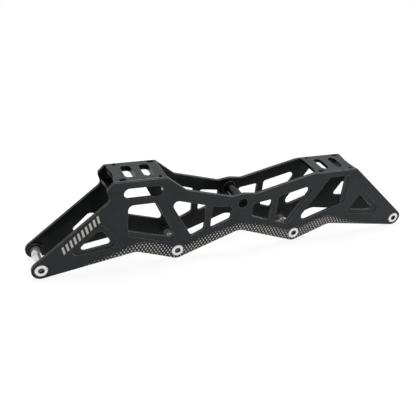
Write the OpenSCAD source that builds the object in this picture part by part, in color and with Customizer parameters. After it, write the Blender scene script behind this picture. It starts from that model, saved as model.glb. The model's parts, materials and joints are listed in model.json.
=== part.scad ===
// Inline skate frame for four 110 mm wheels: a one-piece machined channel with a raised heel deck,
// a lower toe deck, four two-piece axles and a bolted brace at the waist.
// The toe points along +X, the frame stands on its axle bosses, and Y = 0 is its middle plane.

/* [Overall] */
// Distance from the rear axle to the front axle (13.2 inches)
wheelbase = 335.3; // [322:0.1:348]
// Width over the outer faces of the two walls
outer_w = 32; // [30:0.5:36]
// Thickness of a wall
wall_t = 2.6; // [2.4:0.1:3]
// Radius of the wall round each axle
boss_r = 7.6; // [7:0.1:8.4]
// Height of the heel deck's top above the axles
heel_top = 70.6; // [69:0.1:73]
// Height of the toe deck's top above the axles
toe_top = 59.4; // [58:0.1:61]
// Height of the walls' waist over the brace's middle, beside the brace
waist_rise = 8; // [7:0.5:9]

/* [Decks] */
// Distance between the outer pair of boot slots, which take bolts 195 mm apart
mount_long = 193.8; // [191:0.1:197]
// Distance between a deck's two boot slots, so that the inner pair takes bolts 165 mm apart
slot_pitch = 15; // [14:0.1:16]
// How far a deck's middle lies outside the middle of its boot slots
deck_shift = 0.6; // [0:0.1:1.5]
// Length of each deck
deck_l = 42; // [40:0.5:44]
// Thickness of the heel deck
heel_deck_t = 5; // [4:0.1:6]
// Thickness of the toe deck over the third wheel
toe_deck_t = 3.2; // [2.8:0.1:3.6]
// Thickness of the toe deck's front half
toe_block_t = 7; // [5:0.1:8]
// Width of the heel deck's boot slots, along the frame
heel_slot_w = 8.2; // [6.4:0.1:9]
// Width of the toe deck's boot slots, along the frame
toe_slot_w = 7.4; // [6.4:0.1:8.6]
// Length of a boot slot, across the frame
slot_l = 19; // [16:0.5:21]
// Corner radius of the heel deck's boot slots
heel_slot_r = 2.8; // [1:0.1:3.1]
// Depth of the scallop in the heel deck's rear end
heel_scallop = 1.7; // [1:0.1:2.5]
// Width of that scallop, across the frame
heel_scallop_w = 18; // [14:0.5:22]
// Depth of the scallop in the toe deck's front end and in the bridge's rear end
end_scallop = 1.2; // [0.6:0.1:2]
// Radius of the toe deck's inner corners
deck_corner_r = 4; // [2:0.1:6]
// Chamfer along the decks' outer edges
deck_chamfer = 0.8; // [0.3:0.1:1.1]

/* [Locating holes] */
// Distance between a deck's locating holes along the frame
locate_l = 30; // [28:0.5:32]
// Distance between a deck's locating holes across the frame
locate_w = 26; // [25:0.1:26.6]
// Diameter of a locating hole, and width of a locating slot
locate_d = 2.8; // [2.2:0.1:3]
// Length of a locating slot
locate_slot_l = 5.6; // [4:0.1:7]
// Depth of a locating hole
locate_depth = 2.6; // [2:0.1:2.8]

/* [Side windows] */
// Height of the slot under the heel deck
heel_slot_h = 9; // [7:0.1:10]
// Wall left between the heel deck and the slot under it
heel_slot_gap = 1.8; // [1:0.1:3]
// Wall left between that slot and the big heel window
heel_rail = 6; // [5:0.1:8]
// Wall left above the big toe window, measured from the toe deck's top
toe_rail = 6.2; // [5:0.1:8]
// Corner radius of the small windows
window_r = 2.5; // [1.5:0.1:3]
// Width of the shallow step round the triangular windows
step_w = 3.4; // [2:0.1:4]
// Width of the step below the big heel window
heel_step_w = 4.8; // [3:0.1:5]
// Width of the step in front of the big toe window
toe_step_w = 4.2; // [3:0.1:5]
// Width of the step along the slanted side of the third window
bar_step_w = 2.1; // [1.5:0.1:2.5]
// Depth of the steps
step_depth = 0.8; // [0.3:0.1:1.2]

/* [Axles] */
// Diameter of an axle head
head_d = 10; // [9:0.1:11]
// Thickness of an axle head
head_t = 1.6; // [1.3:0.1:2]
// How far an axle head stands out of the wall
head_proud = 0.4; // [0.1:0.1:0.7]
// Diameter of the axle where it runs in the wall
journal_d = 8; // [7:0.1:8.4]
// Diameter of the bolt's shank between the walls
shank_d = 6; // [5:0.1:6.4]
// Width across flats of the hexagon sockets
socket_w = 4; // [3:0.1:4.6]
// Depth of the hexagon sockets
socket_depth = 2.2; // [1:0.1:2.4]
// How far a sleeve reaches in from the far wall
sleeve_reach = 8; // [6:0.5:12]
// Diameter of the raised face round each axle, inside the walls
pad_d = 13; // [11:0.1:13.8]
// Height of the raised faces inside the walls
pad_t = 1.2; // [0.8:0.1:1.4]

/* [Brace] */
// Diameter of the brace between the walls
brace_d = 10; // [8:0.1:12]
// Height of the brace above the axles
brace_h = 38; // [37:0.1:39]
// Diameter of the raised face at each end of the brace
brace_pad_d = 12; // [11.4:0.1:13]
// Radius of the walls' outline over the brace
brace_boss_r = 9.3; // [8.5:0.1:10]
// Diameter of the brace screws
screw_d = 5; // [4:0.1:5.5]
// Diameter of the brace screws' heads
screw_head_d = 8; // [7:0.1:8.6]
// Thickness of the brace screws' heads
screw_head_t = 1.6; // [1.2:0.1:2]
// Depth of a brace screw's head below the wall's face
screw_sunk = 0.6; // [0.2:0.1:0.9]
// Length of a brace screw's thread inside the brace
screw_reach = 9; // [6:0.5:11]

/* [Fits] */
// Radial clearance of a shaft in its bore
fit_gap = 0.05; // [0.02:0.01:0.1]
// Radial clearance round a sunk head
seat_gap = 0.3; // [0.2:0.05:0.4]
// Room past the end of a shank in a blind bore
end_gap = 0.6; // [0.3:0.1:1]

/* [Hidden] */

$fn = 64;
frame_black = "#2d2f30";
axle_silver = "#d9dadb";
brace_black = "#1d1e20";
screw_black = "#131415";

// How far a cutting solid runs past the face that it cuts
past = 2;
// How far a joined solid reaches into the wall beside it
into_wall = wall_t / 2;
outer_y = outer_w / 2;
inner_y = outer_y - wall_t;
pad_y = inner_y - pad_t;

// Axles, counted from the heel
axle_pitch = wheelbase / 3;
AXLES = [0, 1, 2, 3];
function axle_x(i) = (i - 1.5) * axle_pitch;
heel_axle = axle_x(0);
second_axle = axle_x(1);
third_axle = axle_x(2);
toe_axle = axle_x(3);

// Decks, and the middle and the half spacing of each deck's boot slots
slot_step = slot_pitch / 2;
slots_x = mount_long / 2 - slot_step;
deck_x = slots_x + deck_shift;
heel_x = -deck_x;
toe_x = deck_x;
heel_end = heel_x - deck_l / 2;
toe_end = toe_x + deck_l / 2;
heel_under = heel_top - heel_deck_t;
toe_under = toe_top - toe_deck_t;
toe_block_under = toe_top - toe_block_t;

// An outline is a belt round a list of discs [x, z, r], in anticlockwise order.
// The belt bends round a disc of positive radius and hollows in round one of negative radius.

// Angle of the outward normal on the straight run from disc a to disc b
function run_normal(a, b) =
    let (run = [b[0] - a[0], b[1] - a[1]], lean = (a[2] - b[2]) / norm(run))
    atan2(run[1], run[0]) - 90 + asin(max(-1, min(1, lean)));

// Angle that the belt turns through at a disc, negative round a hollow
function belt_turn(from, to, r) =
    let (t = to - from - 360 * floor((to - from) / 360))
    r < 0 ? t - 360 : t;

// Angle between two points of an arc, finer on a wide arc
function arc_step(r) = abs(r) > 20 ? 3 : abs(r) > 6 ? 5 : 10;

// Two angles this close count as one
same_angle = 0.1;

// Angles along an arc: its two ends and the whole steps between them
function arc_angles(from, turn, step) =
    let (
        to = from + turn,
        dir = sign(turn),
        first = dir > 0 ? ceil(from / step) * step : floor(from / step) * step,
        whole = [for (a = [first : dir * step : to]) if (min(abs(a - from), abs(to - a)) > same_angle) a]
    )
    concat([from], whole, [to]);

// Points where the belt touches disc d, between its neighbours
function disc_points(before, d, after) =
    let (from = run_normal(before, d), to = run_normal(d, after), turn = belt_turn(from, to, d[2]))
    d[2] == 0
        ? [[d[0], d[1]]]
        : [for (a = arc_angles(from, turn, arc_step(d[2]))) [d[0] + d[2] * cos(a), d[1] + d[2] * sin(a)]];

function belt(discs) =
    let (n = len(discs))
    [for (i = [0 : n - 1]) each disc_points(discs[(i + n - 1) % n], discs[i], discs[(i + 1) % n])];

// The same discs in reverse order on the other side of x = 0
function mirrored(discs) = [for (i = [len(discs) - 1 : -1 : 0]) [-discs[i][0], discs[i][1], discs[i][2]]];

// Side outline, in millimetres from the middle of the wheelbase and from the axle line
arch_r = 12;
end_arch_x = third_axle + 37.1;
end_arch_top = 4.5;
mid_arch_top = 11.3;
hollow_r = 8;
waist_x = 10.5;
waist_top = brace_h + waist_rise;
slope_foot = [heel_x + 40.6, waist_top + 16.3, -6];
toe_nose_r = 5;
toe_nose_x = toe_end - 2.4;
toe_rear = toe_end - deck_l - 3.5;
toe_knee = toe_rear + 2.4;
edge_r = 1;
lip_x = heel_end - 4.6;
lip_top = heel_top - 5.5;
lip_h = 3;
notch_r = 4.5;
notch_x = heel_end - 8.4;
notch_z = heel_top - 14.4;

outline = [
    [heel_axle, 0, boss_r],
    [-end_arch_x, end_arch_top - arch_r, -arch_r],
    [second_axle, 0, boss_r],
    [0, mid_arch_top - arch_r, -arch_r],
    [third_axle, 0, boss_r],
    [end_arch_x, end_arch_top - arch_r, -arch_r],
    [toe_axle, 0, boss_r],
    [toe_nose_x, toe_top - toe_nose_r, toe_nose_r],
    [toe_knee, toe_top - hollow_r, hollow_r],
    [waist_x, waist_top + hollow_r, -hollow_r],
    [0, brace_h, brace_boss_r],
    [-waist_x, waist_top + hollow_r, -hollow_r],
    slope_foot,
    [heel_end + deck_l - edge_r, heel_top - edge_r, edge_r],
    [heel_end, heel_top - edge_r, edge_r],
    [lip_x, lip_top - edge_r / 2, edge_r],
    [lip_x, lip_top - lip_h, edge_r],
    [notch_x, notch_z, -notch_r]
];

// Side windows, as outlines of the same kind: x from the nearest axle, deck or middle, z from the axle line
heel_slot_z = heel_under - heel_slot_gap - heel_slot_h / 2;
heel_window_top = heel_slot_z - heel_slot_h / 2 - heel_rail;
toe_window_top = toe_top - toe_rail;
big_r = 4.5;
medium_r = 4;

heel_slot = [
    [heel_x - 9.3, heel_slot_z, heel_slot_h / 2],
    [heel_x + 13.2, heel_slot_z, heel_slot_h / 2]
];
heel_window = [
    [heel_x - 7.3, 27.2, window_r],
    [second_axle - 7.6, 17, window_r],
    [heel_x + 11.2, heel_window_top - window_r, window_r],
    [heel_x - 5.5, heel_window_top - big_r, big_r]
];
second_window = [
    [second_axle + 12.4, 15.6, window_r],
    [-36.3, 19.2, window_r],
    [-36.3, waist_top - 7.3, window_r],
    [second_axle - 2.6, waist_top - 2.4, medium_r]
];
waist_window = [
    [-25.5, 20.8, window_r],
    [-12.5, 25.9, window_r],
    [-12.5, waist_top - 12, window_r],
    [-25.5, waist_top - 10.2, window_r]
];
third_window = [
    [36.7, 17.3, window_r],
    [third_axle - 12.4, 14.9, window_r],
    [third_axle + 3.8, waist_top - 3.8, medium_r],
    [36.7, waist_top - 7.8, window_r]
];
toe_window = [
    [third_axle + 9.3, 17.2, big_r],
    [toe_x + 12 - toe_step_w, 26, window_r],
    [toe_x + 12 - toe_step_w, toe_window_top - window_r, window_r],
    [toe_x - 4.7, toe_window_top - 3, 3]
];
toe_triangle = [
    [toe_x + 26.2, 18.5, window_r],
    [toe_axle - 33.4, 16, window_r],
    [toe_x + 31.9, 27.3, window_r]
];
heel_triangle = [
    [heel_x - 26.2, 17.6, window_r],
    [heel_x - 32.3, 23.4, 5],
    [heel_axle + 33.4, 15.1, window_r]
];

// Steps, as outlines that reach into their windows and cross the windows' edges
heel_window_step = [
    [heel_x - 6.9, 27.2 - heel_step_w, window_r],
    [second_axle - 8.6, 17.3 - 0.68 * heel_step_w, medium_r],
    [second_axle - 14, 26, window_r],
    [heel_x - 6, 33, window_r]
];
third_window_step = [
    [39.5, 21, window_r],
    [third_axle - 12.4 + bar_step_w, 14.9 - 0.3 * bar_step_w, window_r],
    [third_axle + 3.8 + 1.3 * bar_step_w, waist_top - 3.8 + 0.2 * bar_step_w, medium_r],
    [48, waist_top - 10.5, window_r]
];
toe_window_step = [
    [toe_x + 2, 29.5, window_r],
    [toe_x + 12, 27.3, window_r],
    [toe_x + 12, toe_window_top - window_r, window_r],
    [toe_x + 2, toe_window_top - 5.7, window_r]
];
triangle_step = [
    [toe_x + 25.4, 17.6, window_r + step_w],
    [toe_axle - 28.4, 14.4, window_r + step_w - 1],
    [toe_x + 32.6, 28.3, window_r + step_w]
];

WINDOWS = [
    heel_slot, heel_window, second_window, waist_window, mirrored(waist_window),
    third_window, toe_window, toe_triangle, heel_triangle
];
STEPS = [heel_window_step, third_window_step, toe_window_step, triangle_step, mirrored(triangle_step)];

// Axles: the head's seat, and the ends of the bolt and of the sleeve's bore, measured from Y = 0
head_seat = outer_y + head_proud - head_t;
sleeve_end = pad_y - sleeve_reach;
sleeve_web = 1;
sleeve_floor = outer_y + head_proud - socket_depth - sleeve_web;
bolt_tip = sleeve_floor - end_gap;
tip_chamfer = 0.5;
head_chamfer = 0.35;

// Brace screws: the heads' outer faces and seats
screw_top = outer_y - screw_sunk;
screw_seat = screw_top - screw_head_t;
screw_socket_w = 0.6 * screw_d;
screw_socket_depth = socket_depth / 2;

// A plate with the given side outline between y0 and y1
module side_plate(points, y0, y1) {
    translate([0, y1, 0])
        rotate([90, 0, 0])
            linear_extrude(y1 - y0)
                polygon(points);
}

// A round solid along +Y from y0 to y1
module cross_round(x, z, d, y0, y1) {
    translate([x, y0, z])
        rotate([-90, 0, 0])
            cylinder(d = d, h = y1 - y0);
}

// A turned solid along Y through x and z: profile points are [radius, y]
module turned(x, z, profile) {
    translate([x, 0, z])
        rotate([-90, 0, 0])
            rotate_extrude()
                polygon(profile);
}

// A hexagon socket cut from y0 to y1
module hex_socket(x, z, across, y0, y1) {
    translate([x, y0, z])
        rotate([-90, 0, 0])
            cylinder(d = across / cos(30), h = y1 - y0, $fn = 6);
}

// A flat plate with the given plan between z0 and z1
module deck_plate(plan, z0, z1) {
    translate([0, 0, z0])
        linear_extrude(z1 - z0)
            polygon(plan);
}

deck_y = inner_y + into_wall;
toe_front = toe_end - 1;

// Radius of a scallop of the given depth and width
function scallop_r(depth, width) = (pow(width / 2, 2) + pow(depth, 2)) / (2 * depth);
heel_scallop_r = scallop_r(heel_scallop, heel_scallop_w);
end_scallop_r = scallop_r(end_scallop, 2 * deck_y);

module heel_deck() {
    plan = belt([
        [heel_end + deck_l, -deck_y, 0],
        [heel_end + deck_l, deck_y, 0],
        [heel_end, deck_y, 0],
        [heel_end, heel_scallop_w / 2, 0],
        [heel_end + heel_scallop - heel_scallop_r, 0, -heel_scallop_r],
        [heel_end, -heel_scallop_w / 2, 0],
        [heel_end, -deck_y, 0]
    ]);
    deck_plate(plan, heel_under, heel_top);
}

module toe_deck() {
    plan = belt([
        [toe_front, -deck_y, 0],
        [toe_front - end_scallop + end_scallop_r, 0, -end_scallop_r],
        [toe_front, deck_y, 0],
        [toe_knee, deck_y, 0],
        [toe_rear, inner_y - deck_corner_r, -deck_corner_r],
        [toe_rear, deck_corner_r - inner_y, -deck_corner_r],
        [toe_knee, -deck_y, 0]
    ]);
    deck_plate(plan, toe_under, toe_top);
    translate([toe_x, -deck_y, toe_block_under])
        cube([toe_front - end_scallop - toe_x, 2 * deck_y, toe_block_t - toe_deck_t / 2]);
}

// Cross web behind and below the heel deck, which ties the walls together
bridge_t = 2.6;
bridge_l = 10;
bridge_top = heel_slot_z - 0.5;
bridge_end = heel_end - 3.6;
module heel_bridge() {
    plan = belt([
        [bridge_end + bridge_l, -deck_y, 0],
        [bridge_end + bridge_l, deck_y, 0],
        [bridge_end, deck_y, 0],
        [bridge_end + end_scallop - end_scallop_r, 0, -end_scallop_r],
        [bridge_end, -deck_y, 0]
    ]);
    deck_plate(plan, bridge_top - bridge_t, bridge_top);
}

// The parts between the walls, kept inside the walls' outline
module cross_parts() {
    intersection() {
        union() {
            heel_deck();
            toe_deck();
            heel_bridge();
        }
        side_plate(belt(outline), -deck_y, deck_y);
    }
}

module walls() {
    for (side = [-1, 1])
        side_plate(belt(outline), min(side * inner_y, side * outer_y), max(side * inner_y, side * outer_y));
}

// A raised face inside each wall
module pad_pair(x, z, d) {
    cross_round(x, z, d, pad_y, inner_y + into_wall);
    cross_round(x, z, d, -inner_y - into_wall, -pad_y);
}

// Raised faces for the wheel bearings and for the ends of the brace
module inner_pads() {
    for (i = AXLES)
        pad_pair(axle_x(i), 0, pad_d);
    pad_pair(0, brace_h, brace_pad_d);
}

module axle_bores() {
    bore_d = journal_d + 2 * fit_gap;
    sink_d = head_d + 2 * seat_gap;
    for (i = AXLES) {
        cross_round(axle_x(i), 0, bore_d, -outer_y - past, outer_y + past);
        cross_round(axle_x(i), 0, sink_d, head_seat, outer_y + past);
        cross_round(axle_x(i), 0, sink_d, -outer_y - past, -head_seat);
    }
}

module brace_bores() {
    sink_d = screw_head_d + 2 * seat_gap;
    cross_round(0, brace_h, screw_d + 2 * fit_gap, -outer_y - past, outer_y + past);
    cross_round(0, brace_h, sink_d, screw_seat, outer_y + past);
    cross_round(0, brace_h, sink_d, -outer_y - past, -screw_seat);
}

module window_cuts() {
    for (w = WINDOWS)
        side_plate(belt(w), -outer_y - past, outer_y + past);
}

module step_cuts() {
    for (w = STEPS) {
        side_plate(belt(w), outer_y - step_depth, outer_y + past);
        side_plate(belt(w), -outer_y - past, step_depth - outer_y);
    }
}

// Plan of a slot of length l along Y and width w along X, with corners of radius r
function cross_slot(x, w, l, r) = belt([
    [x + w / 2 - r, r - l / 2, r],
    [x + w / 2 - r, l / 2 - r, r],
    [x - w / 2 + r, l / 2 - r, r],
    [x - w / 2 + r, r - l / 2, r]
]);

// Plan of a slot with full round ends along Y
function round_slot(x, w, l) = belt([
    [x, w / 2 - l / 2, w / 2],
    [x, l / 2 - w / 2, w / 2]
]);

module boot_slots() {
    for (side = [-1, 1]) {
        deck_plate(cross_slot(side * slot_step - slots_x, heel_slot_w, slot_l, heel_slot_r),
                   heel_under - past, heel_top + past);
        deck_plate(round_slot(slots_x + side * slot_step, toe_slot_w, slot_l),
                   toe_block_under - past, toe_top + past);
    }
}

// Two round holes and two slots in a deck's corners, each pair on one diagonal
module locating_holes(x, top) {
    for (side = [-1, 1]) {
        translate([x + side * locate_l / 2, -side * locate_w / 2, top - locate_depth])
            cylinder(d = locate_d, h = locate_depth + past);
        reach = (locate_slot_l - locate_d) / 2;
        slot = belt([
            [x + side * locate_l / 2 - reach, side * locate_w / 2, locate_d / 2],
            [x + side * locate_l / 2 + reach, side * locate_w / 2, locate_d / 2]
        ]);
        deck_plate(slot, top - locate_depth, top + past);
    }
}

// Chamfers along a deck's two outer edges
module edge_chamfers(x, top) {
    for (side = [-1, 1])
        translate([x - deck_l, side * outer_y, top])
            rotate([45, 0, 0])
                translate([0, -deck_chamfer / sqrt(2), -deck_chamfer / sqrt(2)])
                    cube([2 * deck_l, deck_chamfer * sqrt(2), deck_chamfer * sqrt(2)]);
}

module frame_body() {
    color(frame_black)
        translate([0, 0, boss_r])
            difference() {
                union() {
                    walls();
                    cross_parts();
                    inner_pads();
                }
                window_cuts();
                step_cuts();
                axle_bores();
                brace_bores();
                boot_slots();
                locating_holes(-slots_x, heel_top);
                locating_holes(slots_x, toe_top);
                edge_chamfers(heel_x, heel_top);
                edge_chamfers(toe_x, toe_top);
            }
}

// Bolt half of an axle: head outside the left wall, journal in its bore, shank across to the sleeve
module axle_bolt(i) {
    outside = -outer_y - head_proud;
    profile = [
        [0, outside],
        [head_d / 2 - head_chamfer, outside],
        [head_d / 2, outside + head_chamfer],
        [head_d / 2, -head_seat],
        [journal_d / 2, -head_seat],
        [journal_d / 2, -pad_y],
        [shank_d / 2, -pad_y],
        [shank_d / 2, bolt_tip - tip_chamfer],
        [shank_d / 2 - tip_chamfer, bolt_tip],
        [0, bolt_tip]
    ];
    color(axle_silver)
        translate([0, 0, boss_r])
            difference() {
                turned(axle_x(i), 0, profile);
                hex_socket(axle_x(i), 0, socket_w, outside - past, outside + socket_depth);
            }
}

// Sleeve half of an axle: head outside the right wall, barrel in its bore, blind bore for the bolt
module axle_sleeve(i) {
    outside = outer_y + head_proud;
    bore_r = shank_d / 2 + fit_gap;
    profile = [
        [0, sleeve_floor],
        [bore_r, sleeve_floor],
        [bore_r, sleeve_end],
        [journal_d / 2 - head_chamfer, sleeve_end],
        [journal_d / 2, sleeve_end + head_chamfer],
        [journal_d / 2, head_seat],
        [head_d / 2, head_seat],
        [head_d / 2, outside - head_chamfer],
        [head_d / 2 - head_chamfer, outside],
        [0, outside]
    ];
    color(axle_silver)
        translate([0, 0, boss_r])
            difference() {
                turned(axle_x(i), 0, profile);
                hex_socket(axle_x(i), 0, socket_w, outside - socket_depth, outside + past);
            }
}

module brace_spacer() {
    color(brace_black)
        translate([0, 0, boss_r])
            difference() {
                cross_round(0, brace_h, brace_d, -pad_y, pad_y);
                cross_round(0, brace_h, screw_d + 2 * fit_gap, -pad_y - past, pad_y + past);
            }
}

// One brace screw: side is -1 on the left wall and 1 on the right wall
module brace_screw(side) {
    profile = [
        [0, screw_top],
        [0, pad_y - screw_reach],
        [screw_d / 2, pad_y - screw_reach],
        [screw_d / 2, screw_seat],
        [screw_head_d / 2, screw_seat],
        [screw_head_d / 2, screw_top - head_chamfer],
        [screw_head_d / 2 - head_chamfer, screw_top]
    ];
    color(screw_black)
        translate([0, 0, boss_r])
            mirror([0, side < 0 ? 1 : 0, 0])
                difference() {
                    turned(0, brace_h, profile);
                    hex_socket(0, brace_h, screw_socket_w, screw_top - screw_socket_depth, screw_top + past);
                }
}

frame_body();
axle_bolt(0);  // axle_bolt_1
axle_bolt(1);  // axle_bolt_2
axle_bolt(2);  // axle_bolt_3
axle_bolt(3);  // axle_bolt_4
axle_sleeve(0);  // axle_sleeve_1
axle_sleeve(1);  // axle_sleeve_2
axle_sleeve(2);  // axle_sleeve_3
axle_sleeve(3);  // axle_sleeve_4
brace_spacer();
brace_screw(-1);  // brace_screw_left
brace_screw(1);  // brace_screw_right
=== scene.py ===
"""Looks of a machined inline skate frame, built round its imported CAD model.

The frame body keeps the CAD shape with its edges broken, the axles, brace and screws are turned
anew, and each gets its own finish. All sizes are in metres, in the frame of the CAD model.
"""

import json
import math

import bmesh
import bpy
from bpy.props import FloatProperty, FloatVectorProperty, PointerProperty
from bpy.types import NodeSocket, Operator, Panel, PropertyGroup
from mathutils import Matrix, Vector


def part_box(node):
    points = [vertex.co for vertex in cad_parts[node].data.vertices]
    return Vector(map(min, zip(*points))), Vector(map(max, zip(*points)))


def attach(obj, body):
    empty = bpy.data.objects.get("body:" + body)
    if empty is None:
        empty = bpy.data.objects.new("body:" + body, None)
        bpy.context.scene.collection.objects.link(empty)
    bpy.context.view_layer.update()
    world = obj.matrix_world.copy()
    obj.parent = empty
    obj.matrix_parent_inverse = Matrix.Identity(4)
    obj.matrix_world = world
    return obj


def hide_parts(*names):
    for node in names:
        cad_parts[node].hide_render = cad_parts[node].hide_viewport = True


bl_info = {
    "name": "Inline Skate Frame",
    "version": (1, 0, 0),
    "blender": (4, 5, 0),
    "location": "3D View > Sidebar > Skate Frame",
    "description": "Builds the looks of a machined inline skate frame round its CAD model",
    "category": "Add Mesh",
}

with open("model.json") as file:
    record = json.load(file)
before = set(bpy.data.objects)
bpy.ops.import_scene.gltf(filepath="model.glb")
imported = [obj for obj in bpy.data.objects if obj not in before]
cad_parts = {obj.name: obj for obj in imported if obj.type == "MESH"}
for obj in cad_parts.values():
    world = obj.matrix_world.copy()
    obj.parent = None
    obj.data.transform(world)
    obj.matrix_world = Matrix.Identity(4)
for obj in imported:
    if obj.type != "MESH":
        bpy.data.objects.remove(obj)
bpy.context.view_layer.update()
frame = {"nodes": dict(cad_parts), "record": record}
MM = 0.001


def axis_point(node):
    """Point of a turned node's axis at y = 0."""
    low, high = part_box(node)
    return Vector(((low.x + high.x) / 2, 0, (low.z + high.z) / 2))


# Places that the CAD model gives
AXLES = (1, 2, 3, 4)
AXLE_PITCH = axis_point("axle_bolt_2").x - axis_point("axle_bolt_1").x
AXLE_HEIGHT = axis_point("axle_bolt_1").z
BODY_LOW, BODY_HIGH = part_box("frame_body")
OUTER_Y = BODY_HIGH.y
LOCATING_HOLES = [
    Vector(mount["pos_m"]) for mount in frame["record"]["mounts"] if mount["kind"] == "bore"
]

# Just past the walls' inner faces
INNER_Y = 13.5 * MM


# ---- Settings ----


def size_property(name, description, default):
    """A length that a user can change."""
    return FloatProperty(
        name=name, description=description, default=default, min=0, unit="LENGTH", precision=5
    )


def share_property(name, description, default):
    """A share from 0 to 1 that a user can change."""
    return FloatProperty(
        name=name, description=description, default=default, min=0, max=1, subtype="FACTOR"
    )


def power_property(name, description, default):
    """A lamp's power that a user can change."""
    return FloatProperty(
        name=name, description=description, default=default, min=0, unit="POWER"
    )


def colour_property(name, description, default):
    """A colour that a user can change."""
    return FloatVectorProperty(
        name=name, description=description, default=default, subtype="COLOR", size=3, min=0, max=1
    )


class SkateBodySettings(PropertyGroup):
    """Edges, finish and painted shade of the frame body."""

    edge_break: size_property("Edge break", "Width of the rounding along the edges", 0.2 * MM)
    anodised: colour_property("Anodised", "Colour of the satin faces", (0.0348, 0.0377, 0.0392))
    # The channel and pocket tones are painted shade between the walls, in the small holes and in
    # the heel pocket; the real body has one finish all over
    channel: share_property("Channel tone", "Tone of the faces between the walls", 0.5)
    pocket: share_property("Pocket tone", "Tone of the small holes and the heel pocket", 0.15)
    gloss: share_property("Gloss", "Specular level of the anodised faces", 0.12)
    # The worn edge colour is partly real wear and partly painted highlight along the edges
    wear_and_highlight: colour_property("Worn edge", "Colour of the rubbed edges", (0.25, 0.252, 0.255))
    dots: colour_property("Dots", "Colour of the dotted band and the bars", (0.78, 0.76, 0.70))
    dot_pitch: size_property("Dot pitch", "Distance between two dots in a row", 3.0 * MM)
    row_pitch: size_property("Row pitch", "Distance between two rows of dots", 2.3 * MM)


class SkateAxleSettings(PropertyGroup):
    """Sizes and finish of the two-piece axles."""

    journal: size_property("Journal", "Diameter where the axle runs in the wall", 8 * MM)
    shank: size_property("Shank", "Diameter of the bolt between the walls", 6 * MM)
    head_depth: size_property("Head", "Thickness of an axle head", 1.6 * MM)
    journal_length: size_property("Journal length", "Length of the head and journal", 4.2 * MM)
    chamfer: size_property("Chamfer", "Chamfer round the heads and the ends", 0.35 * MM)
    socket: size_property("Socket", "Width across flats of the hexagon sockets", 4 * MM)
    socket_depth: size_property("Socket depth", "Depth of the hexagon sockets", 2.2 * MM)
    bore: size_property("Sleeve bore", "Diameter of the bore in a sleeve", 6.1 * MM)
    bore_depth: size_property("Bore depth", "Depth of the bore in a sleeve", 9 * MM)
    thread_length: size_property("Thread", "Length of the thread on a bolt", 7 * MM)
    thread_pitch: size_property("Thread pitch", "Distance between two turns", 1 * MM)
    silver: colour_property("Silver", "Colour of the turned metal", (0.8, 0.8, 0.79))


class SkateBraceSettings(PropertyGroup):
    """Sizes and finish of the brace and its two screws."""

    bore: size_property("Brace bore", "Diameter of the bore through the brace", 5.1 * MM)
    screw: size_property("Screw", "Diameter of a brace screw's shank", 5 * MM)
    head_depth: size_property("Screw head", "Thickness of a brace screw's head", 1.6 * MM)
    socket: size_property("Screw socket", "Width across flats of a screw's socket", 3 * MM)
    socket_depth: size_property("Screw socket depth", "Depth of a screw's socket", 1.1 * MM)
    chamfer: size_property("Chamfer", "Chamfer round the brace and the heads", 0.35 * MM)
    gloss_black: colour_property("Brace", "Colour of the glossy brace", (0.003, 0.003, 0.0035))
    oxide_black: colour_property("Screws", "Colour of the screws", (0.003, 0.003, 0.003))


class SkateStageSettings(PropertyGroup):
    """Floor, lamps and camera."""

    floor: colour_property("Floor", "Colour of the floor", (0.5, 0.5, 0.5))
    sky: colour_property("Sky", "Colour of the light from all round", (0.03, 0.03, 0.031))
    top_watts: power_property("Top lamp", "Power of the lamp overhead", 15)
    front_watts: power_property("Front lamp", "Power of the low lamp in front", 3.3)
    lens: FloatProperty(
        name="Lens", description="Focal length of the camera", default=53.5586, min=1, unit="CAMERA"
    )


# ---- Shader nodes ----

# Range that a noise mostly keeps to, and a narrower one that gives it more contrast
NOISE_SPAN = (0.3, 0.7)
NOISE_CORE = (0.35, 0.65)


def add_node(tree, kind, inputs=None, **settings):
    """Adds a shader node; inputs maps its input names or numbers to sockets or plain values."""
    made = tree.nodes.new("ShaderNode" + kind)
    for key, value in settings.items():
        setattr(made, key, value)
    for key, value in (inputs or {}).items():
        if isinstance(value, NodeSocket):
            tree.links.new(value, made.inputs[key])
        else:
            made.inputs[key].default_value = value
    return made


def add_math(tree, operation, *values):
    """Adds a Math node and returns its result."""
    return add_node(tree, "Math", dict(enumerate(values)), operation=operation).outputs[0]


def add_product(tree, first, *others):
    """Multiplies values one after another."""
    for other in others:
        first = add_math(tree, "MULTIPLY", first, other)
    return first


def add_ramp(tree, value, span, to=(0.0, 1.0)):
    """Result of a clamped straight ramp from one range to another."""
    inputs = {
        "Value": value, "From Min": span[0], "From Max": span[1], "To Min": to[0], "To Max": to[1],
    }
    return add_node(tree, "MapRange", inputs).outputs["Result"]


def add_mix(tree, share, first, second):
    """Colour between two colours; 6, 7 and 2 are the numbers of the node's colour sockets."""
    return add_node(tree, "Mix", {0: share, 6: first, 7: second}, data_type="RGBA").outputs[2]


def add_tint(tree, colour, tone):
    """Colour multiplied by a tone."""
    inputs = {0: colour, 1: tone}
    return add_node(tree, "VectorMath", inputs, operation="MULTIPLY").outputs["Vector"]


def add_noise(tree, vector, cells, detail=2.0):
    """Fine random pattern with a number of cells per metre."""
    inputs = {"Vector": vector, "Scale": cells, "Detail": detail}
    return add_node(tree, "TexNoise", inputs).outputs["Fac"]


def add_rings(tree, path, pitch):
    """Wave from -1 to 1 that repeats along a path, as a lathe tool's marks do."""
    return add_math(tree, "SINE", add_math(tree, "MULTIPLY", path, math.tau / pitch))


def read_attribute(tree, name):
    """Value of one of the mesh's own attributes."""
    made = add_node(tree, "Attribute", attribute_name=name, attribute_type="GEOMETRY")
    return made.outputs["Fac"]


def with_alpha(colour):
    """Colour as a socket takes it, fully opaque."""
    return (*colour, 1.0)


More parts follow.
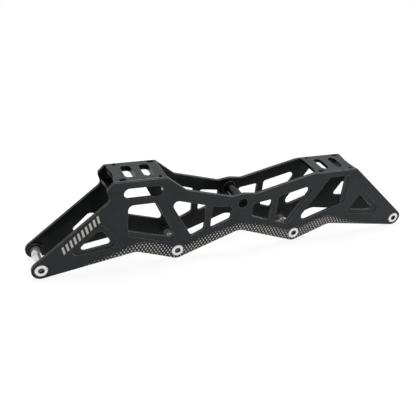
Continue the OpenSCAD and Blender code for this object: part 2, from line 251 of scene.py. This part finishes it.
def start_material(name):
    """A new material with an empty tree, its Object coordinates and their three axes."""
    material = bpy.data.materials.new(name)
    material.use_nodes = True
    tree = material.node_tree
    tree.nodes.clear()
    place = add_node(tree, "TexCoord").outputs["Object"]
    axes = add_node(tree, "SeparateXYZ", {"Vector": place}).outputs
    return material, tree, place, axes


def end_material(tree, colour, roughness, height, bump_depth, **fixed):
    """Adds the shader and its output; fixed holds the shader's plain sockets."""
    bump = add_node(tree, "Bump", {"Height": height, "Distance": bump_depth})
    inputs = {"Base Color": colour, "Roughness": roughness, "Normal": bump.outputs["Normal"]}
    inputs.update({key.replace("_", " "): value for key, value in fixed.items()})
    shader = add_node(tree, "BsdfPrincipled", inputs)
    add_node(tree, "OutputMaterial", {"Surface": shader.outputs["BSDF"]})


# ---- Printed marks on the walls ----

# Top of the dotted band, as height over distance from the frame's middle, in millimetres
BAND_TOP = (
    (0, 26.6), (10, 24.6), (20, 22.1), (30, 19.35), (40, 15.85), (50, 12.35), (56, 12.2),
    (62, 13.6), (70, 17.1), (80, 19.85), (90, 21.35), (95, 20.1), (100, 18.35), (110, 14.35),
    (120, 11.1), (130, 8.6), (140, 6.6),
)

# Half the band's length, the height that its curve is scaled to, and where its ends fade out
BAND_REACH = 140 * MM
BAND_HEIGHT = 40 * MM
BAND_END = (130 * MM, 136 * MM)

# Dots grow over the first depths below the band's top, as the level that cuts them from a wave
# falls; DOT_EDGE is how far above that level a dot has its full colour
DOTS_GROW = (0, 3 * MM)
DOT_CUT = (0.8, 0.26)
DOT_EDGE = (0, 0.25)

# Plain slanted bars along the rear arm: where they start, how they run and how they are spaced
BARS_START = Vector((-151, 0, 22.5)) * MM
BARS_ANGLE = math.radians(42)
BARS_LENGTH = 40 * MM
BARS_HEIGHT = 6 * MM
BARS_PITCH = 4 * MM
BARS_DUTY = 0.5
BARS_SLANT = 0.5

# Print lies only on faces this close to the walls' outermost
FACE_SKIN = 0.08 * MM


def band_top(tree, along):
    """Height of the band's top at a distance from the frame's middle."""
    curve = add_node(tree, "FloatCurve", {"Value": add_math(tree, "DIVIDE", along, BAND_REACH)})
    points = curve.mapping.curves[0].points
    spots = [(x * MM / BAND_REACH, z * MM / BAND_HEIGHT) for x, z in BAND_TOP]
    points[0].location, points[-1].location = spots[0], spots[-1]
    for spot in spots[1:-1]:
        points.new(*spot)
    curve.mapping.update()
    return add_math(tree, "MULTIPLY", curve.outputs[0], BAND_HEIGHT)


def dotted_band(tree, axes, dot_pitch, row_pitch):
    """Share of print in the band along the lower edge, whose dots shrink towards its top."""
    along = add_math(tree, "ABSOLUTE", axes["X"])
    below = add_math(tree, "SUBTRACT", band_top(tree, along), axes["Z"])
    # The upright wave changes its sign from row to row, so each row is shifted by half a pitch
    turns = (("X", math.tau / dot_pitch), ("Z", math.pi / row_pitch))
    waves = [
        add_math(tree, "COSINE", add_math(tree, "MULTIPLY", axes[axis], turn))
        for axis, turn in turns
    ]
    cut = add_ramp(tree, below, DOTS_GROW, DOT_CUT)
    dot = add_ramp(tree, add_math(tree, "SUBTRACT", add_product(tree, *waves), cut), DOT_EDGE)
    inside = add_math(tree, "GREATER_THAN", below, 0)
    return add_product(tree, dot, inside, add_ramp(tree, along, BAND_END, (1, 0)))


def slanted_bars(tree, place):
    """Share of print in the row of bars along the rear arm."""
    turn = {"Vector": place, "Location": BARS_START, "Rotation": (0, -BARS_ANGLE, 0)}
    mapping = add_node(tree, "Mapping", turn, vector_type="TEXTURE")
    axes = add_node(tree, "SeparateXYZ", {"Vector": mapping.outputs["Vector"]}).outputs
    leaning = add_math(tree, "MULTIPLY_ADD", axes["Z"], -BARS_SLANT, axes["X"])
    step = add_math(tree, "FRACT", add_math(tree, "DIVIDE", leaning, BARS_PITCH))
    return add_product(
        tree,
        add_math(tree, "LESS_THAN", step, BARS_DUTY),
        add_math(tree, "LESS_THAN", add_math(tree, "ABSOLUTE", axes["Z"]), BARS_HEIGHT / 2),
        add_math(tree, "GREATER_THAN", leaning, 0),
        add_math(tree, "LESS_THAN", leaning, BARS_LENGTH),
    )


# ---- Finishes ----

# Satin black: cells per metre of its noises, and how far they move its tone and roughness
CLOUD_CELLS, CLOUD_TONE = 45, (0.9, 1.1)
MOTTLE_CELLS, MOTTLE_TONE = 420, (0.9, 1.1)
DRAWN_CELLS, DRAWN_TONE = (30, 1500, 1500), (-0.06, 0.06)
GRAIN_CELLS, GRAIN_ROUGHNESS = 3500, (0.36, 0.48)
RUB_CELLS, RUB_SHARE = 180, (0.45, 1)
FINE_DETAIL = 3
WORN_SMOOTHER = 0.08
MILLED_SMOOTHER = 0.14
DRAWN_BUMP = 0.5
SATIN_BUMP = 0.006 * MM

# Turned silver, which is smoother between the walls and painted dark in its sockets as shade
SILVER_CELLS, SILVER_TONE, SILVER_ROUGHNESS = 700, (0.9, 1.05), (0.2, 0.32)
SILVER_RING_PITCH, SILVER_RING_DEPTH = 0.22 * MM, 0.002 * MM
SILVER_RING_ROUGHNESS = (-0.03, 0.03)
SILVER_METALLIC = 0.8
JOURNAL_SMOOTHER = 0.15
SOCKET_PAINTED_SHADE = 0.13
SOCKET_MOUTH = 1.15

# Black metal of the brace and its screws
BLACK_CELLS, BLACK_TONE = 600, (0.8, 1.2)
BLACK_RING_PITCH, BLACK_RING_DEPTH = 0.3 * MM, 0.0015 * MM


def satin_black(settings):
    """Bead-blasted, black anodised aluminium with rubbed edges that are partly painted highlight,
    the dotted band and the bars.
    """
    material, tree, place, axes = start_material("satin_black_anodised")
    drawn = add_node(tree, "Mapping", {"Vector": place, "Scale": DRAWN_CELLS})
    streak = add_noise(tree, drawn.outputs["Vector"], cells=1)
    grain = add_noise(tree, place, GRAIN_CELLS, FINE_DETAIL)

    cloud = add_ramp(tree, add_noise(tree, place, CLOUD_CELLS), NOISE_SPAN, CLOUD_TONE)
    mottle = add_noise(tree, place, MOTTLE_CELLS, FINE_DETAIL)
    # Tone: random cloud, streaks and mottle, times the painted shade between the walls and in the
    # holes and pocket
    tone = add_product(
        tree,
        add_math(tree, "ADD", cloud, add_ramp(tree, streak, NOISE_SPAN, DRAWN_TONE)),
        add_ramp(tree, mottle, NOISE_CORE, MOTTLE_TONE),
        read_attribute(tree, "painted_shade_tone"),
    )
    # Rubbed edges: a lighter colour that is partly wear and partly painted highlight, broken up by
    # noise
    rub = add_ramp(tree, add_noise(tree, place, RUB_CELLS), NOISE_CORE, RUB_SHARE)
    wear_and_highlight = add_product(tree, read_attribute(tree, "edge_break"), rub)
    colour = add_tint(tree, settings.anodised, tone)
    colour = add_mix(tree, wear_and_highlight, colour, with_alpha(settings.wear_and_highlight))

    dots = dotted_band(tree, axes, settings.dot_pitch, settings.row_pitch)
    marks = add_math(tree, "MAXIMUM", dots, slanted_bars(tree, place))
    sideways = add_math(tree, "ABSOLUTE", axes["Y"])
    ink = add_product(tree, marks, add_math(tree, "GREATER_THAN", sideways, OUTER_Y - FACE_SKIN))
    colour = add_mix(tree, ink, colour, with_alpha(settings.dots))

    rough = add_ramp(tree, grain, NOISE_SPAN, GRAIN_ROUGHNESS)
    rough = add_math(tree, "MULTIPLY_ADD", wear_and_highlight, -WORN_SMOOTHER, rough)
    milled = read_attribute(tree, "milled_rim")
    rough = add_math(tree, "MULTIPLY_ADD", milled, -MILLED_SMOOTHER, rough)
    height = add_math(tree, "MULTIPLY_ADD", streak, DRAWN_BUMP, grain)
    end_material(tree, colour, rough, height, SATIN_BUMP, Specular_IOR_Level=settings.gloss)
    return material


def turned_silver(settings):
    """Turned and polished steel with fine rings left by the tool."""
    material, tree, place, axes = start_material("turned_axle_silver")
    along = add_math(tree, "WRAP", axes["X"], AXLE_PITCH, 0)
    arms = (
        add_math(tree, "SUBTRACT", along, AXLE_PITCH / 2),
        add_math(tree, "SUBTRACT", axes["Z"], AXLE_HEIGHT),
    )
    squares = [add_math(tree, "POWER", arm, 2) for arm in arms]
    radius = add_math(tree, "SQRT", add_math(tree, "ADD", *squares))
    rings = add_rings(tree, add_math(tree, "ADD", radius, axes["Y"]), SILVER_RING_PITCH)
    cloud = add_noise(tree, place, SILVER_CELLS)

    outside = add_math(tree, "GREATER_THAN", add_math(tree, "ABSOLUTE", axes["Y"]), INNER_Y)
    mouth = SOCKET_MOUTH * socket_corner(settings.socket)
    in_socket = add_product(tree, add_math(tree, "LESS_THAN", radius, mouth), outside)
    # Inside each head's socket mouth the colour is darkened as painted shade
    tone = add_product(
        tree,
        add_ramp(tree, cloud, NOISE_SPAN, SILVER_TONE),
        add_ramp(tree, in_socket, (0, 1), (1, SOCKET_PAINTED_SHADE)),
    )
    rough = add_ramp(tree, cloud, NOISE_SPAN, SILVER_ROUGHNESS)
    rough = add_math(tree, "ADD", rough, add_ramp(tree, rings, (-1, 1), SILVER_RING_ROUGHNESS))
    rough = add_math(tree, "ADD", rough, add_ramp(tree, outside, (0, 1), (-JOURNAL_SMOOTHER, 0)))
    colour = add_tint(tree, settings.silver, tone)
    end_material(tree, colour, rough, rings, SILVER_RING_DEPTH, Metallic=SILVER_METALLIC)
    return material


def black_metal(name, colour, roughness, gloss):
    """Black turned metal with faint tool rings along the axis."""
    material, tree, place, axes = start_material(name)
    cloud = add_noise(tree, place, BLACK_CELLS)
    rings = add_rings(tree, axes["Y"], BLACK_RING_PITCH)
    toned = add_tint(tree, colour, add_ramp(tree, cloud, NOISE_SPAN, BLACK_TONE))
    rough = add_ramp(tree, cloud, NOISE_SPAN, roughness)
    end_material(tree, toned, rough, rings, BLACK_RING_DEPTH, Specular_IOR_Level=gloss)
    return material


# ---- Meshes ----

# Steps of a full turn, and how far apart two points are that count as one
TURNED_SEGMENTS = 96
THREAD_SEGMENTS = 24
MERGE_DISTANCE = 0.002 * MM

# Angles in degrees: the body's edges below the first are dissolved and those above the second are
# broken, and edges above the other two are shaded as sharp
FLAT_BELOW = 0.5
BROKEN_ABOVE = 25
BODY_SHARP_ABOVE = 20
TURNED_SHARP_ABOVE = 30

# Sockets: angle of a side, countersink and drill point as shares of the width, and the
# countersink's width over its depth
HEXAGON_SIDE = math.radians(60)
SOCKET_SINK = 0.06
DRILL_POINT = 0.15
SINK_SPREAD = 1.5

# Threads: depth and half width of the ridge as shares of the pitch, and how far its foot is sunk
THREAD_DEPTH = 0.45
RIDGE_HALF = 0.45
THREAD_ROOT = 0.03 * MM


def add_object(name, data):
    """Adds an object to the scene."""
    made = bpy.data.objects.new(name, data)
    bpy.context.scene.collection.objects.link(made)
    return made


def add_mesh(bm, name, material):
    """Adds a bmesh to the scene as an object with one material."""
    mesh = bpy.data.meshes.new(name)
    bm.to_mesh(mesh)
    bm.free()
    mesh.materials.append(material)
    return add_object(name, mesh)


def finish_piece(bm, name, material, body, node, sharp_above):
    """Makes a bmesh a piece that rides on a body and stands for a CAD node."""
    piece = add_mesh(bm, name, material)
    piece.data.shade_smooth()
    piece.data.set_sharp_from_angle(angle=math.radians(sharp_above))
    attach(piece, body)
    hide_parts(node)


def finish_turned(bm, name, material, body, node):
    """Points a turned piece's faces outwards and finishes it."""
    bmesh.ops.recalc_face_normals(bm, faces=bm.faces)
    finish_piece(bm, name, material, body, node, TURNED_SHARP_ABOVE)


def edges_sharper_than(bm, degrees):
    """Edges between two faces that meet at more than an angle."""
    limit = math.radians(degrees)
    return [edge for edge in bm.edges if edge.is_manifold and edge.calc_face_angle() > limit]


def break_edges(bm, edges, width):
    """Rounds edges in two steps and returns the new faces."""
    made = bmesh.ops.bevel(
        bm, geom=edges, offset=width, offset_type="OFFSET", segments=2, profile=0.5,
        affect="EDGES", clamp_overlap=False, material=-1,
    )
    return made["faces"]


def turn_profile(node, profile):
    """Starts a bmesh with a profile of (radius, y) points turned round a node's axis."""
    bm = bmesh.new()
    centre = axis_point(node)
    points = [bm.verts.new((centre.x + radius, y, centre.z)) for radius, y in profile]
    runs = [bm.edges.new(pair) for pair in zip(points, points[1:])]
    bmesh.ops.spin(
        bm, geom=points + runs, cent=centre, axis=(0, 1, 0), dvec=(0, 0, 0),
        angle=math.tau, steps=TURNED_SEGMENTS, use_merge=True,
    )
    bmesh.ops.remove_doubles(bm, verts=bm.verts, dist=MERGE_DISTANCE)
    return bm


def socket_corner(width):
    """Radius of a hexagon's corners from its width across flats."""
    return width / 2 / math.cos(HEXAGON_SIDE / 2)


def head_profile(settings, radius, face, inward):
    """Profile of a round head from its socket's drilled bottom, over its face, to its underside."""
    corner = socket_corner(settings.socket)
    sink = SOCKET_SINK * settings.socket
    floor = face + inward * settings.socket_depth
    return (
        (0, floor + inward * DRILL_POINT * settings.socket),
        (corner, floor),
        (corner, face + inward * sink),
        (corner + SINK_SPREAD * sink, face),
        (radius - settings.chamfer, face),
        (radius, face + inward * settings.chamfer),
        (radius, face + inward * settings.head_depth),
    )


def form_hexagon(bm, node, width):
    """Draws the round rings of a socket in to a hexagon."""
    centre = axis_point(node)
    corner = socket_corner(width)
    for vert in bm.verts:
        arm = vert.co - centre
        arm.y = 0
        if abs(arm.length - corner) < MERGE_DISTANCE:
            off_middle = math.atan2(arm.z, arm.x) % HEXAGON_SIDE - HEXAGON_SIDE / 2
            vert.co -= arm * (1 - math.cos(HEXAGON_SIDE / 2) / math.cos(off_middle))


def wind_thread(bm, node, start, length, core, crest, pitch):
    """Winds a ridge round a shank, with its foot inside the core."""
    centre = axis_point(node)
    half = RIDGE_HALF * pitch
    profile = ((core, start - half), (crest, start), (core, start + half))
    points = [bm.verts.new((centre.x + radius, y, centre.z)) for radius, y in profile]
    first = [bm.edges.new((points[i], points[i - 1])) for i in range(len(points))]
    turns = int(length / pitch)
    steps = turns * THREAD_SEGMENTS
    made = bmesh.ops.spin(
        bm, geom=points + first, cent=centre, axis=(0, 1, 0), dvec=(0, turns * pitch / steps, 0),
        angle=turns * math.tau, steps=steps,
    )
    last = [part for part in made["geom_last"] if isinstance(part, bmesh.types.BMEdge)]
    bmesh.ops.edgeloop_fill(bm, edges=first)
    bmesh.ops.edgeloop_fill(bm, edges=last)


# ---- Frame body ----

# Just under the top of the lower deck, and the smallest upward part of a deck top's normal
TOE_DECK_TOP = 66.9 * MM
DECK_LEVEL = 0.9

# Largest sideways part of a milled rim's normal
RIM_LEAN = 0.3

# How far the faces of a locating hole, or of the short slot across from it, are from its middle
HOLE_REACH = Vector((3.1, 1.7, 1.4)) * MM

# Front and floor of the pocket behind the heel deck, whose faces get painted shade
HEEL_POCKET_FRONT = -100 * MM
HEEL_POCKET_FLOOR = 66 * MM


def on_deck_top(face):
    """Whether a face is part of a deck's top."""
    return face.normal.z > DECK_LEVEL and face.calc_center_median().z > TOE_DECK_TOP


def in_channel(face):
    """Whether a face lies between the walls and isn't part of a deck's top."""
    between = all(abs(vert.co.y) < INNER_Y for vert in face.verts)
    return between and not on_deck_top(face)


def on_milled_rim(face):
    """Whether a face runs square through a wall, as its rim and its windows do."""
    return abs(face.normal.y) < RIM_LEAN and not on_deck_top(face)


def stands_proud(face):
    """Whether a face rounds an outer corner, which wear and the painted highlight reach, and not an
    inner one.
    """
    return sum(edge.calc_face_angle_signed(0) for edge in face.edges) > 0


def in_locating_hole(face):
    """Whether a face lies in a deck's round hole or in the short slot across from it."""
    at = face.calc_center_median()
    for hole in LOCATING_HOLES:
        away = (abs(at.x - hole.x), abs(abs(at.y) - abs(hole.y)), abs(at.z - hole.z))
        if all(gap < reach for gap, reach in zip(away, HOLE_REACH)):
            return True
    return False


def in_heel_pocket(face):
    """Whether a face lies between the walls in the pocket behind the heel deck."""
    at = face.calc_center_median()
    return at.x < HEEL_POCKET_FRONT and at.z > HEEL_POCKET_FLOOR and in_channel(face)


def painted_shade_tone(face, settings):
    """Painted shade tone of a face against the open ones: less between the walls, least in holes
    and pocket.
    """
    # Painted shade: these faces are darkened to stand in for the shade that falls there
    if in_locating_hole(face) or in_heel_pocket(face):
        return settings.pocket
    return settings.channel if in_channel(face) else 1.0


class SKATE_OT_body(Operator):
    """Copy the frame body's solid, break its edges and give it the satin black finish"""

    bl_idname = "skate_frame.body"
    bl_label = "Frame body"

    def execute(self, context):
        settings = context.scene.skate_body
        bm = bmesh.new()
        bm.from_mesh(frame["nodes"]["frame_body"].data)
        bmesh.ops.remove_doubles(bm, verts=bm.verts, dist=MERGE_DISTANCE)
        bmesh.ops.dissolve_limit(
            bm, angle_limit=math.radians(FLAT_BELOW), verts=bm.verts, edges=bm.edges
        )
        # Layers that the finish reads: rubbed edges with painted highlight, painted shade by depth,
        # and milled rims
        broken = bm.faces.layers.float.new("edge_break")
        depth = bm.faces.layers.float.new("painted_shade_tone")
        rim = bm.faces.layers.float.new("milled_rim")
        for face in break_edges(bm, edges_sharper_than(bm, BROKEN_ABOVE), settings.edge_break):
            face[broken] = float(stands_proud(face) and not in_locating_hole(face))
        for face in bm.faces:
            face[depth] = painted_shade_tone(face, settings)
            face[rim] = float(on_milled_rim(face))
        finish_piece(
            bm, "machined_body", satin_black(settings), "frame", "frame_body",
            BODY_SHARP_ABOVE,
        )
        return {"FINISHED"}


# ---- Turned pieces ----


class SKATE_OT_axle_bolts(Operator):
    """Turn the bolt half of each axle: head with its socket, journal, shank and thread"""

    bl_idname = "skate_frame.axle_bolts"
    bl_label = "Axle bolts"

    def execute(self, context):
        settings = context.scene.skate_axle
        material = turned_silver(settings)
        journal, shank = settings.journal / 2, settings.shank / 2
        core = shank - THREAD_DEPTH * settings.thread_pitch
        for number in AXLES:
            node = f"axle_bolt_{number}"
            low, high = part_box(node)
            journal_end = low.y + settings.journal_length
            threads_from = high.y - settings.thread_length
            profile = head_profile(settings, (high.x - low.x) / 2, low.y, inward=1) + (
                (journal, low.y + settings.head_depth),
                (journal, journal_end - settings.chamfer),
                (journal - settings.chamfer, journal_end),
                (shank, journal_end),
                (shank, threads_from - settings.thread_pitch),
                (core, threads_from - settings.thread_pitch / 2),
                (core, high.y - settings.chamfer),
                (core - settings.chamfer, high.y),
                (0, high.y),
            )
            bm = turn_profile(node, profile)
            form_hexagon(bm, node, settings.socket)
            wind_thread(
                bm, node, threads_from, settings.thread_length - settings.thread_pitch,
                core - THREAD_ROOT, shank - THREAD_ROOT, settings.thread_pitch,
            )
            finish_turned(bm, f"turned_bolt_{number}", material, node, node)
        return {"FINISHED"}


class SKATE_OT_axle_sleeves(Operator):
    """Turn the sleeve half of each axle: head with its socket, barrel and blind bore"""

    bl_idname = "skate_frame.axle_sleeves"
    bl_label = "Axle sleeves"

    def execute(self, context):
        settings = context.scene.skate_axle
        material = bpy.data.materials["turned_axle_silver"]
        barrel, bore = settings.journal / 2, settings.bore / 2
        for number in AXLES:
            node = f"axle_sleeve_{number}"
            low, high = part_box(node)
            profile = head_profile(settings, (high.x - low.x) / 2, high.y, inward=-1) + (
                (barrel, high.y - settings.head_depth),
                (barrel, low.y + settings.chamfer),
                (barrel - settings.chamfer, low.y),
                (bore, low.y),
                (bore, low.y + settings.bore_depth),
                (0, low.y + settings.bore_depth),
            )
            bm = turn_profile(node, profile)
            form_hexagon(bm, node, settings.socket)
            finish_turned(bm, f"turned_sleeve_{number}", material, node, node)
        return {"FINISHED"}


class SKATE_OT_brace(Operator):
    """Turn the brace that ties the two walls at the waist"""

    bl_idname = "skate_frame.brace"
    bl_label = "Brace"

    def execute(self, context):
        settings = context.scene.skate_brace
        material = black_metal(
            "gloss_black_brace", settings.gloss_black, roughness=(0.1, 0.16), gloss=0.3
        )
        low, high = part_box("brace_spacer")
        outer, bore = (high.x - low.x) / 2, settings.bore / 2
        profile = (
            (bore, low.y),
            (outer - settings.chamfer, low.y),
            (outer, low.y + settings.chamfer),
            (outer, high.y - settings.chamfer),
            (outer - settings.chamfer, high.y),
            (bore, high.y),
            (bore, low.y),
        )
        bm = turn_profile("brace_spacer", profile)
        finish_turned(bm, "turned_brace", material, "frame", "brace_spacer")
        return {"FINISHED"}


class SKATE_OT_brace_screws(Operator):
    """Turn the two sunk screws that hold the brace"""

    bl_idname = "skate_frame.brace_screws"
    bl_label = "Brace screws"

    def execute(self, context):
        settings = context.scene.skate_brace
        material = black_metal(
            "black_oxide_screw", settings.oxide_black, roughness=(0.45, 0.6), gloss=0.03
        )
        shank = settings.screw / 2
        for side, inward in (("left", 1), ("right", -1)):
            node = f"brace_screw_{side}"
            low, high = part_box(node)
            face, tip = (low.y, high.y) if inward > 0 else (high.y, low.y)
            profile = head_profile(settings, (high.x - low.x) / 2, face, inward) + (
                (shank, face + inward * settings.head_depth),
                (shank, tip - inward * settings.chamfer),
                (shank - settings.chamfer, tip),
                (0, tip),
            )
            bm = turn_profile(node, profile)
            form_hexagon(bm, node, settings.socket)
            finish_turned(bm, f"turned_screw_{side}", material, "frame", node)
        return {"FINISHED"}


# ---- Stage ----

WHITE = (1, 1, 1, 1)

# Floor: its size, how far it lies under the frame and its faint unevenness
FLOOR_SIZE = 12
FLOOR_DROP = 0.2 * MM
FLOOR_CELLS, FLOOR_TONE = 6, (0.99, 1.01)

# Share and strength of the floor's white near the frame; both go to 1 over FLOOR_FADE
FLOOR_WHITE = 0.7
FLOOR_GLOW = 1.28
FLOOR_FADE = (0.3, 0.9)

# Share of the white surroundings that gloss shows
SKY_IN_GLOSS = 0.8

LAMP_AIM = Vector((0, 0, 0.04))
TOP_LAMP_AT, TOP_LAMP_SIZE = Vector((0.1, 0.25, 1.0)), (1.2, 0.8)
FRONT_LAMP_AT, FRONT_LAMP_SIZE = Vector((0.28, -1.0, 0.06)), (0.8, 0.1)

CAMERA_AT = (-0.22417, -0.41078, 0.30041)
CAMERA_TURN = tuple(math.radians(angle) for angle in (59.6979, -5.6005, -22.6664))


def seen_white(tree, in_gloss):
    """Share of white for rays that see the background, and a share of it for those off gloss."""
    rays = add_node(tree, "LightPath").outputs
    straight = add_math(tree, "MAXIMUM", rays["Is Camera Ray"], rays["Is Transmission Ray"])
    glossy = add_math(tree, "MULTIPLY", rays["Is Glossy Ray"], in_gloss)
    return add_math(tree, "MAXIMUM", straight, glossy)


def floor_material(colour):
    """Pale matt floor, seen as nearly white with a faint shadow near the frame."""
    material, tree, place, _ = start_material("pale_floor")
    tone = add_ramp(tree, add_noise(tree, place, FLOOR_CELLS), NOISE_SPAN, FLOOR_TONE)
    matt = add_node(tree, "BsdfDiffuse", {"Color": add_tint(tree, colour, tone)})
    away = add_node(tree, "VectorMath", {0: place}, operation="LENGTH").outputs["Value"]
    glow = add_ramp(tree, away, FLOOR_FADE, (FLOOR_GLOW, 1))
    white = add_node(tree, "Emission", {"Color": WHITE, "Strength": glow})
    share = add_product(
        tree, seen_white(tree, in_gloss=1), add_ramp(tree, away, FLOOR_FADE, (FLOOR_WHITE, 1))
    )
    mix = add_node(tree, "MixShader", {0: share, 1: matt.outputs[0], 2: white.outputs[0]})
    add_node(tree, "OutputMaterial", {"Surface": mix.outputs[0]})
    return material


def lay_floor(colour):
    """Lays the floor just under the frame."""
    bm = bmesh.new()
    below = Matrix.Translation((0, 0, BODY_LOW.z - FLOOR_DROP))
    bmesh.ops.create_grid(bm, x_segments=1, y_segments=1, size=FLOOR_SIZE / 2, matrix=below)
    floor = add_mesh(bm, "floor", floor_material(colour))


def surround_with_white(sky_colour):
    """Sets surroundings that look white and give only a little light."""
    world = bpy.data.worlds.new("white_surroundings")
    world.use_nodes = True
    tree = world.node_tree
    tree.nodes.clear()
    sky = add_node(tree, "Background", {"Color": with_alpha(sky_colour)})
    white = add_node(tree, "Background", {"Color": WHITE})
    share = seen_white(tree, SKY_IN_GLOSS)
    mix = add_node(tree, "MixShader", {0: share, 1: sky.outputs[0], 2: white.outputs[0]})
    add_node(tree, "OutputWorld", {"Surface": mix.outputs[0]})
    bpy.context.scene.world = world


def add_lamp(name, at, size, watts):
    """Adds a soft rectangular lamp that shines at the frame."""
    light = bpy.data.lights.new(name, "AREA")
    light.shape = "RECTANGLE"
    light.size, light.size_y = size
    light.energy = watts
    lamp = add_object(name, light)
    lamp.location = at
    lamp.rotation_euler = (LAMP_AIM - at).to_track_quat("-Z", "Y").to_euler()


def add_camera(lens):
    """Adds the camera at the photograph's viewing angle."""
    camera = add_object("camera", bpy.data.cameras.new("camera"))
    camera.data.lens = lens
    camera.location = CAMERA_AT
    camera.rotation_euler = CAMERA_TURN
    bpy.context.scene.camera = camera


class SKATE_OT_stage(Operator):
    """Add the floor, the white surroundings, the soft lamps and the camera"""

    bl_idname = "skate_frame.stage"
    bl_label = "Stage"

    def execute(self, context):
        settings = context.scene.skate_stage
        lay_floor(settings.floor)
        surround_with_white(settings.sky)
        context.scene.view_settings.view_transform = "Standard"
        add_lamp("top_lamp", TOP_LAMP_AT, TOP_LAMP_SIZE, settings.top_watts)
        add_lamp("front_lamp", FRONT_LAMP_AT, FRONT_LAMP_SIZE, settings.front_watts)
        add_camera(settings.lens)
        return {"FINISHED"}


# ---- Panel and registration ----


class SKATE_PT_pieces(Panel):
    """Lists the frame's pieces and their settings"""

    bl_label = "Skate Frame"
    bl_idname = "SKATE_PT_pieces"
    bl_space_type = "VIEW_3D"
    bl_region_type = "UI"
    bl_category = "Skate Frame"

    def draw(self, context):
        for operators, group in PANEL_ROWS:
            box = self.layout.box()
            for operator in operators:
                box.operator(operator.bl_idname)
            settings = getattr(context.scene, group)
            for key in SETTINGS[group].__annotations__:
                box.prop(settings, key)


SETTINGS = {
    "skate_body": SkateBodySettings,
    "skate_axle": SkateAxleSettings,
    "skate_brace": SkateBraceSettings,
    "skate_stage": SkateStageSettings,
}
PANEL_ROWS = (
    ((SKATE_OT_body,), "skate_body"),
    ((SKATE_OT_axle_bolts, SKATE_OT_axle_sleeves), "skate_axle"),
    ((SKATE_OT_brace, SKATE_OT_brace_screws), "skate_brace"),
    ((SKATE_OT_stage,), "skate_stage"),
)
OPERATORS = tuple(operator for operators, _ in PANEL_ROWS for operator in operators)


def register():
    """Registers the settings, the operators and the panel."""
    for cls in (*SETTINGS.values(), *OPERATORS, SKATE_PT_pieces):
        bpy.utils.register_class(cls)
    for key, cls in SETTINGS.items():
        setattr(bpy.types.Scene, key, PointerProperty(type=cls))


def unregister():
    """Takes away what register added, in the opposite order."""
    for key in SETTINGS:
        delattr(bpy.types.Scene, key)
    for cls in (SKATE_PT_pieces, *reversed(OPERATORS), *reversed(SETTINGS.values())):
        bpy.utils.unregister_class(cls)


def main():
    """Builds every piece and the stage."""
    register()
    bpy.ops.skate_frame.body()
    bpy.ops.skate_frame.axle_bolts()
    bpy.ops.skate_frame.axle_sleeves()
    bpy.ops.skate_frame.brace()
    bpy.ops.skate_frame.brace_screws()
    bpy.ops.skate_frame.stage()


if __name__ == "__main__":
    main()
